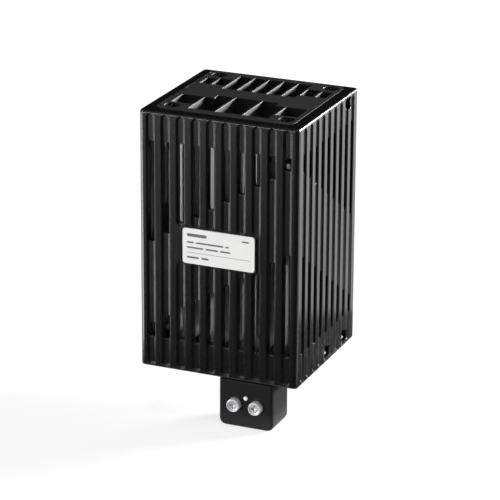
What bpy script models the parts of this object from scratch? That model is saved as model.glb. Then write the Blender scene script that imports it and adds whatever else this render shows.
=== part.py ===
"""Enclosure heater for a 35 mm rail: slotted moulded housing round a finned heat sink.

Working axes: X across the front, centred; Y backwards from the front rib faces; Z up from the
underside of the housing. The root empty then moves everything so that the origin is the middle
of the clip's rail seat.
"""

from math import ceil, cos, pi, sin

import bmesh
import bpy
from mathutils import Vector

# Housing shell
WIDTH = 0.0760
DEPTH = 0.0710
HEIGHT = 0.1206
WALL = 0.0036
CORNER_RADIUS = 0.0018
INNER_RADIUS = 0.0015
EDGE_RADIUS = 0.0010
SEAT_GAP = 0.0003
OVERSHOOT = 0.0010

# Grooves and windows in the walls
GROOVE_DEPTH = 0.0009
GROOVE_WIDTH = 0.0024
GROOVE_END_ROUND = 0.0006
GROOVE_TOP_MARGIN = 0.0019
GROOVE_BOTTOM_MARGIN = 0.0016
FRONT_PITCH = 0.00725
SIDE_PITCH = 0.0071
FACE_MARGIN = 0.0025
WINDOW_WIDTH = 0.0033
WINDOW_ROUND = 0.0009
WINDOW_TOP_MARGIN = 0.0137
WINDOW_BOTTOM_MARGIN = 0.0143
WINDOW_SHORTEST = 1.5 * WINDOW_WIDTH
BAND_HEIGHT = 0.320 * HEIGHT
BAND_STEP = 0.0381 * HEIGHT
BAND_MIDDLE = 0.507 * HEIGHT

# Label and its pad
LABEL_WIDTH = 0.0345
LABEL_HEIGHT = 0.0164
LABEL_THICKNESS = 0.0005
LABEL_ROUND = 0.0013
LABEL_X = 0.0004
LABEL_Z = 0.503 * HEIGHT
LABEL_RECESS = 0.0004
LABEL_MARGIN = 0.0007
LABEL_SLIT = 0.0013
WINDOW_PAD_CLEAR = 0.0005

# Top grille
RIM_SIDE = 0.0051
RIM_REAR = 0.0021
CAP_PLATE = 0.0024
CAP_BODY = 0.0056
LEDGE_WIDTH = 0.0015
LEDGE_THICKNESS = 0.0025
CAP_ROUND = 0.0030
BLADE = 0.0010
GRILLE_SIDE_MARGIN = 0.0080
FRONT_BLADE_PITCH = 0.171 * WIDTH
FRONT_BLADES = 4
REAR_BLADE_PITCH = 0.0947 * WIDTH
REAR_BLADES = 8
GRILLE_MARGIN = 0.0052
BRIDGE_WIDTH = 0.0105
BRIDGE_Y = 0.5535 * DEPTH
GRILLE_STEP = 0.0042
PEG_RADIUS = 0.0011
PEG_LENGTH = 0.0045
PEG_BOSS_RADIUS = 0.0030

# Corner screws of the top grille
SCREW_HOLE_RADIUS = 0.0017
SCREW_SHANK_RADIUS = 0.0013
SCREW_HEAD_RADIUS = 0.0031
SCREW_HEAD_HEIGHT = 0.0014
RECESS_RADIUS = 0.00365
RECESS_DEPTH = 0.0019
SCREW_SIDE_INSET = 0.0107
SCREW_FRONT_INSET = 0.0120
SCREW_REAR_INSET = 0.0069
POST_RADIUS = 0.0034
POST_LENGTH = 0.0110
WEB_THICKNESS = 0.0016
WEB_HEIGHT = 0.0044
TOP_SCREW_LENGTH = 0.0150
SCREW_FACETS = 12

# Latch windows and hooks
LATCH_WIDTH = 0.0063
LATCH_HEIGHT = 0.0050
LATCH_Z = 0.0051
LATCH_GROOVES = (-2, -5)
LATCH_SHIFT = 0.0030
TOP_LATCH_WIDTH = 0.0060
TOP_LATCH_HEIGHT = 0.0058
TOP_LATCH_SHIFT = 0.0028
TOP_LATCH_DROP = 0.0042
HOOK_REACH = 0.0022
HOOK_HEIGHT = 0.0036

# Bottom cover and its terminal foot
COVER_PLATE = 0.0024
COVER_HEIGHT = 0.0075
COVER_SKIRT = 0.0015
AIR_SLOT_WIDTH = 0.0684 * WIDTH
AIR_SLOT_PITCH = 0.0947 * WIDTH
AIR_SLOT_COUNT = 8
AIR_ROW_MARGIN = 0.0080
AIR_ROW_BRIDGE = 0.0120
BOSS_RADIUS = 0.0040
FOOT_WIDTH = 0.0261
FOOT_DEPTH = 0.255 * DEPTH
FOOT_HEIGHT = 0.0224
FOOT_SIDE_INSET = 0.0112
FOOT_WALL = 0.0020
FOOT_CORNER_RADIUS = 0.0030
FOOT_EDGE_RADIUS = 0.0012
WIRE_ENTRY = 0.0060
WIRE_ENTRY_ROUND = 0.0008

# Terminals
TERMINAL_PITCH = 0.0105
TERMINAL_SHIFT = -0.0001
TERMINAL_Z = -0.0114
TERMINAL_HEAD_RADIUS = 0.00305
TERMINAL_HEAD_LENGTH = 0.0044
TERMINAL_HEAD_PROUD = 0.0028
TERMINAL_RIM = 0.0006
TERMINAL_DISH = 0.0005
TERMINAL_SLOT = 0.0009
TERMINAL_SHANK_RADIUS = 0.0015
CLAMP_WIDTH = 0.0080
CLAMP_DEPTH = 0.0080
CLAMP_HEIGHT = 0.0090
CLAMP_ENTRY_RADIUS = 0.0018
CLAMP_ENTRY_DEPTH = 0.0061
CLAMP_ENTRY_OFFSET = 0.0005
CLAMP_LEAD_DEPTH = 0.0020
PIN_RADIUS = 0.0010
PIN_PROUD = 0.0004
PIN_LENGTH = 0.0030
PIN_Z = -0.0081

# Heat sink
SINK_FLOOR = 0.0090
SINK_TOP_SPACE = 0.0060
SINK_FACE_SPACE = 0.0175
FIN_COUNT = 13
FIN_SIDE_SPACE = 0.0026
FIN_THICKNESS = 0.0018
FIN_TIP_ROUND = 0.0002
SINK_WEB = 0.0030
CHANNEL_WALL = 0.0019
PORT_BLOCK = 0.0068
PORT_RADIUS = 0.0015
PORT_BETWEEN_FINS = 4.5
SINK_SCREW_LENGTH = 0.0160

# Element stack inside the heat sink
STONE_WIDTH = 0.316 * WIDTH
STONE_THICKNESS = 0.0022
STONE_COUNT = 4
STONE_GAP = 0.0025
STACK_END_SPACE = 0.0055
FRAME_BORDER = 0.0023
ELECTRODE_WIDTH = STONE_WIDTH + 0.0010
ELECTRODE_THICKNESS = 0.0006
ELECTRODE_TABS = (0.0020, 0.0095)
TAB_WIDTH = 0.0040
TAB_DROP = 0.0044
SLEEVE_THICKNESS = 0.0004
SLEEVE_OVERHANG = 0.0010
SPRING_THICKNESS = 0.0004
SPRING_WAVE = 0.0010
SPRING_WIDTH = STONE_WIDTH + 0.0020
SPRING_WAVES = 3

# Internal leads
LEAD_RADIUS = 0.0010
LEAD_BEND = 0.0030

# Rail clip on the back
RAIL_WIDTH = 0.0350
RAIL_FLANGE = 0.0010
RAIL_Z = HEIGHT / 2
CLIP_WIDTH = 0.0200
CLIP_PLATE = 0.0032
CLIP_LIP = 0.0023
CLIP_LIP_REACH = 0.0024
CLIP_END = 0.0038
CLIP_RELIEF = 0.0004
CLIP_TAIL = 0.0090
CLIP_SPRING_SLOT = 0.0009
CLIP_SLOT_CLEAR = 0.0003
CLIP_SCREW_SPACING = 0.0180
CLIP_SCREW_LENGTH = 0.0055
CLIP_PAD_WIDTH = 0.0240
CLIP_PAD_HEIGHT = 0.0540

for leftover in list(bpy.data.objects):
    bpy.data.objects.remove(leftover, do_unlink=True)

HALF_WIDTH = WIDTH / 2
MIDDLE_Y = DEPTH / 2
CLIP_FACE = DEPTH + SEAT_GAP
SEAT_Y = CLIP_FACE + CLIP_PLATE
GRILLE_HALF_SPAN = HALF_WIDTH - GRILLE_SIDE_MARGIN
FOOT_X = HALF_WIDTH - FOOT_SIDE_INSET - FOOT_WIDTH / 2
TERMINAL_X = FOOT_X + TERMINAL_SHIFT
CAP_FLOOR = HEIGHT - CAP_PLATE
CAP_UNDERSIDE = CAP_FLOOR - CAP_BODY
SINK_TOP = CAP_UNDERSIDE - SINK_TOP_SPACE
SINK_LENGTH = SINK_TOP - SINK_FLOOR
SINK_MIDDLE_Z = SINK_FLOOR + SINK_LENGTH / 2
SINK_DEPTH = DEPTH - 2 * SINK_FACE_SPACE
FIN_PITCH = (WIDTH - 2 * WALL - 2 * FIN_SIDE_SPACE - FIN_THICKNESS) / (FIN_COUNT - 1)
STONE_SPACING = (SINK_LENGTH - 2 * STACK_END_SPACE) / STONE_COUNT
STONE_HEIGHT = STONE_SPACING - STONE_GAP

root = bpy.data.objects.new("heater_root", None)
root.location = (0.0, -SEAT_Y, -RAIL_Z)
bpy.context.collection.objects.link(root)


def make_material(name, color, roughness, metallic):
    """One plain finish for each kind of stuff the heater is made of."""
    material = bpy.data.materials.new(name)
    material.use_nodes = True
    shader = material.node_tree.nodes["Principled BSDF"]
    shader.inputs["Base Color"].default_value = (*color, 1.0)
    shader.inputs["Roughness"].default_value = roughness
    shader.inputs["Metallic"].default_value = metallic
    return material


BLACK_PLASTIC = make_material("black_plastic", (0.028, 0.028, 0.030), 0.45, 0.0)
CLIP_PLASTIC = make_material("grey_plastic", (0.060, 0.062, 0.065), 0.50, 0.0)
BLACK_STEEL = make_material("black_steel", (0.030, 0.030, 0.032), 0.30, 1.0)
ALUMINIUM = make_material("aluminium", (0.780, 0.790, 0.800), 0.35, 1.0)
BRIGHT_STEEL = make_material("bright_steel", (0.700, 0.700, 0.690), 0.25, 1.0)
BRASS = make_material("brass", (0.720, 0.550, 0.280), 0.35, 1.0)
CERAMIC = make_material("ceramic", (0.350, 0.330, 0.310), 0.70, 0.0)
FILM = make_material("amber_film", (0.550, 0.260, 0.060), 0.30, 0.0)
FRAME_PLASTIC = make_material("cream_plastic", (0.750, 0.710, 0.600), 0.55, 0.0)
LABEL_WHITE = make_material("label_white", (0.850, 0.850, 0.850), 0.40, 0.0)
PIN_WHITE = make_material("pin_white", (0.800, 0.800, 0.780), 0.30, 0.0)
LEAD_RED = make_material("silicone_red", (0.420, 0.060, 0.040), 0.55, 0.0)


def add_mesh(name, bm, material, smooth_angle=None):
    """Turn a finished bmesh into a named object under the root."""
    bmesh.ops.recalc_face_normals(bm, faces=bm.faces)
    mesh = bpy.data.meshes.new(name)
    bm.to_mesh(mesh)
    bm.free()
    if smooth_angle is not None:
        mesh.shade_smooth()
        mesh.set_sharp_from_angle(angle=smooth_angle)
    piece = bpy.data.objects.new(name, mesh)
    piece.parent = root
    if material is not None:
        mesh.materials.append(material)
    bpy.context.collection.objects.link(piece)
    return piece


def add_cutter(name, bm):
    """A hidden tool body for a Boolean."""
    tool = add_mesh(name, bm, None)
    tool.hide_render = True
    tool.display_type = "WIRE"
    return tool


def combine(target, tool, operation):
    """Cut the tool from the target, or join it on, by a live Boolean."""
    modifier = target.modifiers.new(tool.name, "BOOLEAN")
    modifier.operation = operation
    modifier.solver = "EXACT"
    modifier.object = tool


def cut(target, tool):
    combine(target, tool, "DIFFERENCE")


def join(target, tool):
    combine(target, tool, "UNION")


def loft(bm, rings):
    """Skin a row of rings of equal length and close both ends."""
    rows = [[bm.verts.new(point) for point in ring] for ring in rings]
    count = len(rows[0])
    for lower, upper in zip(rows, rows[1:]):
        for i in range(count):
            j = (i + 1) % count
            bm.faces.new((lower[i], lower[j], upper[j], upper[i]))
    bm.faces.new(list(reversed(rows[0])))
    bm.faces.new(rows[-1])


def rounded_outline(half_a, half_b, radius, segments):
    """Rounded rectangle about zero, as (a, b) pairs in turning order."""
    radius = min(radius, half_a, half_b)
    outline = []
    for quarter in range(4):
        sign_a = 1 if quarter in (0, 3) else -1
        sign_b = 1 if quarter in (0, 1) else -1
        for step in range(segments + 1):
            angle = (quarter + step / segments) * pi / 2
            outline.append((
                sign_a * (half_a - radius) + radius * cos(angle),
                sign_b * (half_b - radius) + radius * sin(angle),
            ))
    return outline


def circle_outline(radius, segments):
    """Circle about zero, as (a, b) pairs."""
    return [
        (radius * cos(2 * pi * i / segments), radius * sin(2 * pi * i / segments))
        for i in range(segments)
    ]


def along_x(outline, x, y=0.0, z=0.0):
    return [Vector((x, y + a, z + b)) for a, b in outline]


def along_y(outline, y, x=0.0, z=0.0):
    return [Vector((x + a, y, z + b)) for a, b in outline]


def along_z(outline, z, x=0.0, y=0.0):
    return [Vector((x + a, y + b, z)) for a, b in outline]


def box(bm, x0, x1, y0, y1, z0, z1):
    """Plain block between two corners."""
    corners = [(x0, y0), (x1, y0), (x1, y1), (x0, y1)]
    loft(bm, [along_z(corners, z0), along_z(corners, z1)])


def cylinder_z(bm, x, y, radius, z0, z1, segments=16):
    outline = circle_outline(radius, segments)
    loft(bm, [along_z(outline, z0, x, y), along_z(outline, z1, x, y)])


def cylinder_y(bm, x, z, radius, y0, y1, segments=16):
    outline = circle_outline(radius, segments)
    loft(bm, [along_y(outline, y0, x, z), along_y(outline, y1, x, z)])


def turned(bm, profile, place, segments):
    """Revolve a (radius, height) profile whose ends lie on the axis."""
    first = bm.verts.new(place(0.0, 0.0, profile[0][1]))
    last = bm.verts.new(place(0.0, 0.0, profile[-1][1]))
    rows = [
        [bm.verts.new(place(a, b, height)) for a, b in circle_outline(radius, segments)]
        for radius, height in profile[1:-1]
    ]
    for i in range(segments):
        j = (i + 1) % segments
        bm.faces.new((first, rows[0][j], rows[0][i]))
        bm.faces.new((last, rows[-1][i], rows[-1][j]))
        for lower, upper in zip(rows, rows[1:]):
            bm.faces.new((lower[i], lower[j], upper[j], upper[i]))


def wall_faces():
    """The four walls: name, span, groove pitch, band slope and a mapping from wall to space.

    A wall's own axes are the distance from its left edge seen from outside, the depth under
    the rib faces and the height. Opposite walls are alike under a half turn.
    """
    return [
        ("front", WIDTH, FRONT_PITCH, 1, lambda a, d, h: Vector((a - HALF_WIDTH, d, h))),
        ("right", DEPTH, SIDE_PITCH, -1, lambda a, d, h: Vector((HALF_WIDTH - d, a, h))),
        ("rear", WIDTH, FRONT_PITCH, 1, lambda a, d, h: Vector((HALF_WIDTH - a, DEPTH - d, h))),
        ("left", DEPTH, SIDE_PITCH, -1, lambda a, d, h: Vector((d - HALF_WIDTH, DEPTH - a, h))),
    ]


def groove_places(span, pitch):
    """Centre lines of the grooves, as many as the wall has room for."""
    room = span - 2 * FACE_MARGIN - GROOVE_WIDTH
    count = int(room / pitch + 0.001) + 1
    first = span / 2 - (count - 1) * pitch / 2
    return [first + i * pitch for i in range(count)]


LABEL_PAD = (
    LABEL_X - LABEL_WIDTH / 2 - LABEL_MARGIN + HALF_WIDTH,
    LABEL_X + LABEL_WIDTH / 2 + LABEL_MARGIN + HALF_WIDTH,
    LABEL_Z - LABEL_HEIGHT / 2 - LABEL_MARGIN,
    LABEL_Z + LABEL_HEIGHT / 2 + LABEL_MARGIN,
)
CLIP_PAD = (
    HALF_WIDTH - CLIP_PAD_WIDTH / 2,
    HALF_WIDTH + CLIP_PAD_WIDTH / 2,
    RAIL_Z - CLIP_PAD_HEIGHT / 2,
    RAIL_Z + CLIP_PAD_HEIGHT / 2,
)
PADS = {"front": LABEL_PAD, "rear": CLIP_PAD}


def split_by_pad(wall, place, half, low, high, clear=0.0):
    """A vertical run of groove or window, less the part that a flat pad takes."""
    pad = PADS.get(wall)
    runs = [(low, high)]
    if pad is not None and place + half > pad[0] and place - half < pad[1]:
        if high > pad[2] - clear and low < pad[3] + clear:
            runs = [(low, pad[2] - clear), (pad[3] + clear, high)]
    return [run for run in runs if run[1] - run[0] > WINDOW_SHORTEST]


def wall_pocket(bm, to_space, place, low, high, half, radius, levels, segments):
    """Rounded upright pocket in a wall, as a loft through (depth, spread) levels."""
    rings = []
    for depth, spread in levels:
        outline = rounded_outline(half + spread, (high - low) / 2 + spread, radius + spread, segments)
        rings.append([to_space(place + a, depth, (low + high) / 2 + b) for a, b in outline])
    loft(bm, rings)


def groove_cutter():
    """Shallow grooves whose walls flare out at 45 degrees to the ribs beside them."""
    bm = bmesh.new()
    levels = [
        (GROOVE_DEPTH, 0.0),
        (0.0, GROOVE_DEPTH),
        (-GROOVE_DEPTH, GROOVE_DEPTH),
    ]
    bottom = GROOVE_BOTTOM_MARGIN
    top = HEIGHT - GROOVE_TOP_MARGIN
    for wall, span, pitch, _, to_space in wall_faces():
        for place in groove_places(span, pitch):
            for low, high in split_by_pad(wall, place, GROOVE_WIDTH / 2, bottom, top):
                wall_pocket(
                    bm, to_space, place, low, high, GROOVE_WIDTH / 2, GROOVE_END_ROUND, levels, 1)
    return add_cutter("groove_cutter", bm)


def window_cutter(walls):
    """Through slots of two opposite walls, above and below the solid band round the housing."""
    bm = bmesh.new()
    levels = [(-WALL, 0.0), (WALL * 1.25, 0.0)]
    half = WINDOW_WIDTH / 2
    for wall, span, pitch, slope, to_space in wall_faces():
        if wall not in walls:
            continue
        places = groove_places(span, pitch)
        for number, place in enumerate(places):
            rise = slope * (number - (len(places) - 1) / 2) * BAND_STEP
            band_low = BAND_MIDDLE + rise - BAND_HEIGHT / 2
            band_high = BAND_MIDDLE + rise + BAND_HEIGHT / 2
            ends = [(WINDOW_BOTTOM_MARGIN, band_low), (band_high, HEIGHT - WINDOW_TOP_MARGIN)]
            runs = []
            for low, high in ends:
                runs += split_by_pad(wall, place, half, low, high, WINDOW_PAD_CLEAR)
            for low, high in runs:
                wall_pocket(bm, to_space, place, low, high, half, WINDOW_ROUND, levels, 2)
    return add_cutter("window_cutter_" + walls[0], bm)


def label_recess_cutter():
    """Shallow pocket for the label and the thin slit that runs down beside its pad."""
    bm = bmesh.new()
    slit = [
        Vector((LABEL_PAD[1] - HALF_WIDTH + a, 0.0, h))
        for a, h in (
            (0.0, LABEL_PAD[2] - LABEL_SLIT / 2), (LABEL_SLIT, LABEL_PAD[2] - LABEL_SLIT / 2),
            (LABEL_SLIT, LABEL_PAD[3] + LABEL_SLIT / 2), (0.0, LABEL_PAD[3] + LABEL_SLIT / 2))
    ]
    loft(bm, [[v + Vector((0.0, y, 0.0)) for v in slit] for y in (-WALL, GROOVE_DEPTH * 0.9)])
    outline = rounded_outline(
        LABEL_WIDTH / 2 + LABEL_RECESS, LABEL_HEIGHT / 2 + LABEL_RECESS, LABEL_ROUND, 3)
    loft(bm, [
        along_y(outline, -WALL, LABEL_X, LABEL_Z),
        along_y(outline, LABEL_RECESS, LABEL_X, LABEL_Z),
    ])
    return add_cutter("label_recess_cutter", bm)


def housing_block():
    """Outer block with rounded upright corners and rounded top and bottom edges."""
    bm = bmesh.new()
    rings = []
    steps = 2
    for step in range(steps + 1):
        angle = step / steps * pi / 2
        inset = EDGE_RADIUS * (1 - sin(angle))
        height = EDGE_RADIUS * (1 - cos(angle))
        rings.append((height, inset))
    rings += [(HEIGHT - height, inset) for height, inset in reversed(rings)]
    loft(bm, [
        along_z(
            rounded_outline(HALF_WIDTH - inset, DEPTH / 2 - inset, CORNER_RADIUS - inset, 3),
            height, 0.0, MIDDLE_Y)
        for height, inset in rings
    ])
    return add_mesh("housing_shell", bm, BLACK_PLASTIC)


CAVITY_TOP = CAP_FLOOR - LEDGE_THICKNESS
CAP_SEAT = (RIM_SIDE - HALF_WIDTH, HALF_WIDTH - RIM_SIDE, RIM_SIDE, DEPTH - RIM_REAR)
LEDGE_HOLE = (
    CAP_SEAT[0] + LEDGE_WIDTH, CAP_SEAT[1] - LEDGE_WIDTH, CAP_SEAT[2] + LEDGE_WIDTH, DEPTH - WALL)


def rounded_slab(bm, bounds, z0, z1, radius, shrink=0.0):
    """Upright prism over a rounded rectangle given by its x and y bounds."""
    x0, x1, y0, y1 = bounds
    outline = rounded_outline((x1 - x0) / 2 - shrink, (y1 - y0) / 2 - shrink, radius, 3)
    middle = ((x0 + x1) / 2, (y0 + y1) / 2)
    loft(bm, [along_z(outline, z0, *middle), along_z(outline, z1, *middle)])


def corner_screws():
    """Names and places of the four top screws."""
    side = HALF_WIDTH - SCREW_SIDE_INSET
    front = SCREW_FRONT_INSET
    rear = DEPTH - SCREW_REAR_INSET
    return [
        ("front_left", -side, front),
        ("front_right", side, front),
        ("rear_left", -side, rear),
        ("rear_right", side, rear),
    ]


POST_TOP = CAP_UNDERSIDE - SEAT_GAP


def latch_places():
    """Lower latch windows and the top one: wall side, y, z, half width and half height."""
    places = []
    grooves = groove_places(DEPTH, SIDE_PITCH)
    for side in (-1, 1):
        for number in LATCH_GROOVES:
            y = MIDDLE_Y + side * (grooves[number] + LATCH_SHIFT - MIDDLE_Y)
            places.append(("lower", side, y, LATCH_Z, LATCH_WIDTH / 2, LATCH_HEIGHT / 2))
        y = MIDDLE_Y + side * (grooves[LATCH_GROOVES[0]] + TOP_LATCH_SHIFT - MIDDLE_Y)
        z = HEIGHT - TOP_LATCH_DROP
        places.append(("top", side, y, z, TOP_LATCH_WIDTH / 2, TOP_LATCH_HEIGHT / 2))
    return places


def housing_shell():
    """Slotted tube with a ledge for the cap, screw posts and latch windows."""
    shell = housing_block()

    bm = bmesh.new()
    rounded_slab(
        bm, (WALL - HALF_WIDTH, HALF_WIDTH - WALL, WALL, DEPTH - WALL), -WALL, CAVITY_TOP, INNER_RADIUS)
    cut(shell, add_cutter("cavity_cutter", bm))

    bm = bmesh.new()
    rounded_slab(bm, LEDGE_HOLE, CAVITY_TOP - LEDGE_THICKNESS, HEIGHT, INNER_RADIUS)
    cut(shell, add_cutter("ledge_cutter", bm))

    bm = bmesh.new()
    rounded_slab(bm, CAP_SEAT, CAP_FLOOR, HEIGHT + WALL, CAP_ROUND)
    cut(shell, add_cutter("cap_seat_cutter", bm))

    posts = bmesh.new()
    side_webs = bmesh.new()
    end_webs = bmesh.new()
    pilots = bmesh.new()
    inner = HALF_WIDTH - WALL / 2
    for _, x, y in corner_screws():
        side = 1 if x > 0 else -1
        cylinder_z(posts, x, y, POST_RADIUS, POST_TOP - POST_LENGTH, POST_TOP, 14)
        reach = sorted((x, side * inner))
        half = WEB_THICKNESS / 2
        box(side_webs, *reach, y - half, y + half, POST_TOP - WEB_HEIGHT, POST_TOP - half)
        wall_y = WALL / 2 if y < MIDDLE_Y else DEPTH - WALL / 2
        reach = sorted((y, wall_y))
        box(end_webs, x - half, x + half, *reach, POST_TOP - WEB_HEIGHT, POST_TOP - half)
        cylinder_z(
            pilots, x, y, SCREW_SHANK_RADIUS + SEAT_GAP, POST_TOP - POST_LENGTH + WEB_THICKNESS,
            POST_TOP + WALL, 12)
    join(shell, add_cutter("post_tool", posts))
    join(shell, add_cutter("side_web_tool", side_webs))
    join(shell, add_cutter("end_web_tool", end_webs))

    cut(shell, groove_cutter())
    cut(shell, window_cutter(("front", "rear")))
    cut(shell, window_cutter(("right", "left")))
    cut(shell, add_cutter("pilot_cutter", pilots))
    cut(shell, label_recess_cutter())

    latches = bmesh.new()
    for kind, side, y, z, half_y, half_z in latch_places():
        radius = min(half_y, half_z) * (0.9 if kind == "top" else 0.35)
        outline = rounded_outline(half_y, half_z, radius, 2)
        inner = LEDGE_HOLE[1] - SEAT_GAP if kind == "top" else HALF_WIDTH - WALL - EDGE_RADIUS
        loft(latches, [
            along_x(outline, side * inner, y, z),
            along_x(outline, side * (HALF_WIDTH + WALL), y, z),
        ])
    cut(shell, add_cutter("latch_cutter", latches))

    clip_pilots = bmesh.new()
    for z in clip_screw_heights():
        cylinder_y(clip_pilots, 0.0, z, SCREW_SHANK_RADIUS + SEAT_GAP, DEPTH - WALL * 1.5, CLIP_FACE, 12)
    cut(shell, add_cutter("clip_pilot_cutter", clip_pilots))
    return shell


def clip_screw_heights():
    return [RAIL_Z - CLIP_SCREW_SPACING / 2, RAIL_Z + CLIP_SCREW_SPACING / 2]


def front_openings():
    """Five openings of the grille's front row, short where the screws and the bridge need room."""
    count = FRONT_BLADES + 1
    edges = [-GRILLE_HALF_SPAN]
    edges += [(i - (FRONT_BLADES - 1) / 2) * FRONT_BLADE_PITCH for i in range(FRONT_BLADES)]
    edges.append(GRILLE_HALF_SPAN)
    near = RIM_SIDE + GRILLE_MARGIN
    near_screw = SCREW_FRONT_INSET + RECESS_RADIUS + BLADE
    far = BRIDGE_Y - BRIDGE_WIDTH / 2
    shapes = []
    for i in range(count):
        x0 = edges[i] + (BLADE / 2 if i else 0.0)
        x1 = edges[i + 1] - (BLADE / 2 if i < count - 1 else 0.0)
        if i in (0, count - 1):
            short = far - GRILLE_STEP
            shapes.append([(x0, near_screw), (x1, near_screw), (x1, short), (x0, short)])
        elif i in (1, count - 2):
            side = -1 if i == 1 else 1
            outer, inner = (x0, x1) if side < 0 else (x1, x0)
            notch = outer - side * GRILLE_STEP
            shapes.append([
                (outer, near), (inner, near), (inner, far), (notch, far),
                (notch, far - GRILLE_STEP), (outer, far - GRILLE_STEP)])
        else:
            shapes.append([(x0, near), (x1, near), (x1, far), (x0, far)])
    return shapes


def rear_openings():
    """Nine narrow openings of the grille's rear row."""
    edges = [-GRILLE_HALF_SPAN - BLADE]
    edges += [(i - (REAR_BLADES - 1) / 2) * REAR_BLADE_PITCH for i in range(REAR_BLADES)]
    edges.append(GRILLE_HALF_SPAN + BLADE)
    near = BRIDGE_Y + BRIDGE_WIDTH / 2
    far = LEDGE_HOLE[3] - SEAT_GAP - BLADE
    far_screw = DEPTH - SCREW_REAR_INSET - RECESS_RADIUS - BLADE
    shapes = []
    for i in range(REAR_BLADES + 1):
        x0 = edges[i] + BLADE / 2
        x1 = edges[i + 1] - BLADE / 2
        by_screw = max(abs(x0), abs(x1)) > HALF_WIDTH - SCREW_SIDE_INSET - RECESS_RADIUS - BLADE
        outer = i in (0, REAR_BLADES)
        y0 = near + (GRILLE_STEP if by_screw else 0.0)
        y1 = far_screw - (GRILLE_STEP / 4 if outer else 0.0) if by_screw else far
        shapes.append([(x0, y0), (x1, y0), (x1, y1), (x0, y1)])
    return shapes


def sink_ports():
    """The two screw ports of the heat sink, left and right of the element channel."""
    reach = PORT_BETWEEN_FINS * FIN_PITCH
    return [("left", -reach), ("right", reach)]


def top_grille():
    """Cap that drops onto the ledge, with thin blades between its openings."""
    bm = bmesh.new()
    rounded_slab(bm, CAP_SEAT, CAP_FLOOR + SEAT_GAP, HEIGHT, CAP_ROUND, SEAT_GAP)
    cap = add_mesh("top_grille", bm, BLACK_PLASTIC)

    bm = bmesh.new()
    rounded_slab(bm, LEDGE_HOLE, CAP_UNDERSIDE, HEIGHT - CAP_PLATE / 2, INNER_RADIUS, SEAT_GAP)
    join(cap, add_cutter("cap_body_tool", bm))

    bm = bmesh.new()
    for _, x in sink_ports():
        boss = circle_outline(PEG_BOSS_RADIUS, 12)
        peg = circle_outline(PEG_RADIUS, 12)
        loft(bm, [
            along_z(boss, CAP_UNDERSIDE + CAP_PLATE, x, MIDDLE_Y),
            along_z(boss, SINK_TOP + SEAT_GAP, x, MIDDLE_Y),
            along_z(peg, SINK_TOP + SEAT_GAP, x, MIDDLE_Y),
            along_z(peg, SINK_TOP - PEG_LENGTH, x, MIDDLE_Y),
        ])
    join(cap, add_cutter("peg_tool", bm))

    bm = bmesh.new()
    for kind, side, y, z, half_y, half_z in latch_places():
        if kind != "top":
            continue
        root_x = LEDGE_HOLE[1] - SEAT_GAP
        top = z + half_z / 3
        outline = [
            (side * (root_x - OVERSHOOT), top),
            (side * (root_x + HOOK_REACH), top),
            (side * (root_x - OVERSHOOT), top - HOOK_HEIGHT),
        ]
        loft(bm, [
            along_y(outline, y - half_y + 2 * OVERSHOOT),
            along_y(outline, y + half_y - 2 * OVERSHOOT),
        ])
    join(cap, add_cutter("cap_hook_tool", bm))

    bm = bmesh.new()
    for shape in front_openings() + rear_openings():
        loft(bm, [
            along_z(shape, CAP_UNDERSIDE - OVERSHOOT),
            along_z(shape, HEIGHT + OVERSHOOT),
        ])
    for _, x, y in corner_screws():
        cylinder_z(bm, x, y, SCREW_HOLE_RADIUS, CAP_UNDERSIDE - OVERSHOOT, HEIGHT - RECESS_DEPTH / 2, 12)
    cut(cap, add_cutter("grille_cutter", bm))

    bm = bmesh.new()
    for _, x, y in corner_screws():
        cylinder_z(bm, x, y, RECESS_RADIUS, HEIGHT - RECESS_DEPTH, HEIGHT + OVERSHOOT, 24)
    cut(cap, add_cutter("recess_cutter", bm))
    return cap


def screw_profile(head_radius, head_height, shank_radius, length):
    """Pan head at the top, shank below with a short tip; heights run down from the head's crown."""
    return [
        (0.0, 0.0),
        (head_radius * 0.72, -head_height * 0.08),
        (head_radius * 0.94, -head_height * 0.30),
        (head_radius, -head_height * 0.62),
        (head_radius, -head_height),
        (shank_radius, -head_height),
        (shank_radius, -length + shank_radius * 0.6),
        (shank_radius * 0.4, -length),
        (0.0, -length),
    ]


def top_screws():
    """Four black screws that sit in the cap's corner recesses."""
    crown = HEIGHT - RECESS_DEPTH + SEAT_GAP + SCREW_HEAD_HEIGHT
    for corner, x, y in corner_screws():
        bm = bmesh.new()
        profile = screw_profile(
            SCREW_HEAD_RADIUS, SCREW_HEAD_HEIGHT, SCREW_SHANK_RADIUS, TOP_SCREW_LENGTH)
        turned(bm, profile, lambda a, b, h: Vector((x + a, y + b, crown + h)), SCREW_FACETS)
        add_mesh("top_screw_" + corner, bm, BLACK_STEEL, 0.6)


FOOT_BOUNDS = (FOOT_X - FOOT_WIDTH / 2, FOOT_X + FOOT_WIDTH / 2, 0.0, FOOT_DEPTH)
COVER_BOUNDS = (WALL - HALF_WIDTH, HALF_WIDTH - WALL, WALL, DEPTH - WALL)


def foot_block():
    """Outside of the terminal foot: rounded lower corners, softened front edges."""
    bm = bmesh.new()
    headroom = FOOT_CORNER_RADIUS + EDGE_RADIUS
    half_height = (FOOT_HEIGHT + headroom) / 2
    middle = (headroom - FOOT_HEIGHT) / 2
    levels = []
    steps = 3
    for step in range(steps + 1):
        angle = step / steps * pi / 2
        levels.append((FOOT_EDGE_RADIUS * (1 - sin(angle)), FOOT_EDGE_RADIUS * (1 - cos(angle))))
    rings = [(y, inset) for inset, y in levels]
    rings += [(FOOT_DEPTH - y, inset) for inset, y in reversed(levels)]
    loft(bm, [
        along_y(
            rounded_outline(
                FOOT_WIDTH / 2 - inset, half_height - inset, FOOT_CORNER_RADIUS - inset, 4),
            y, FOOT_X, middle)
        for y, inset in rings
    ])
    return bm


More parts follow.
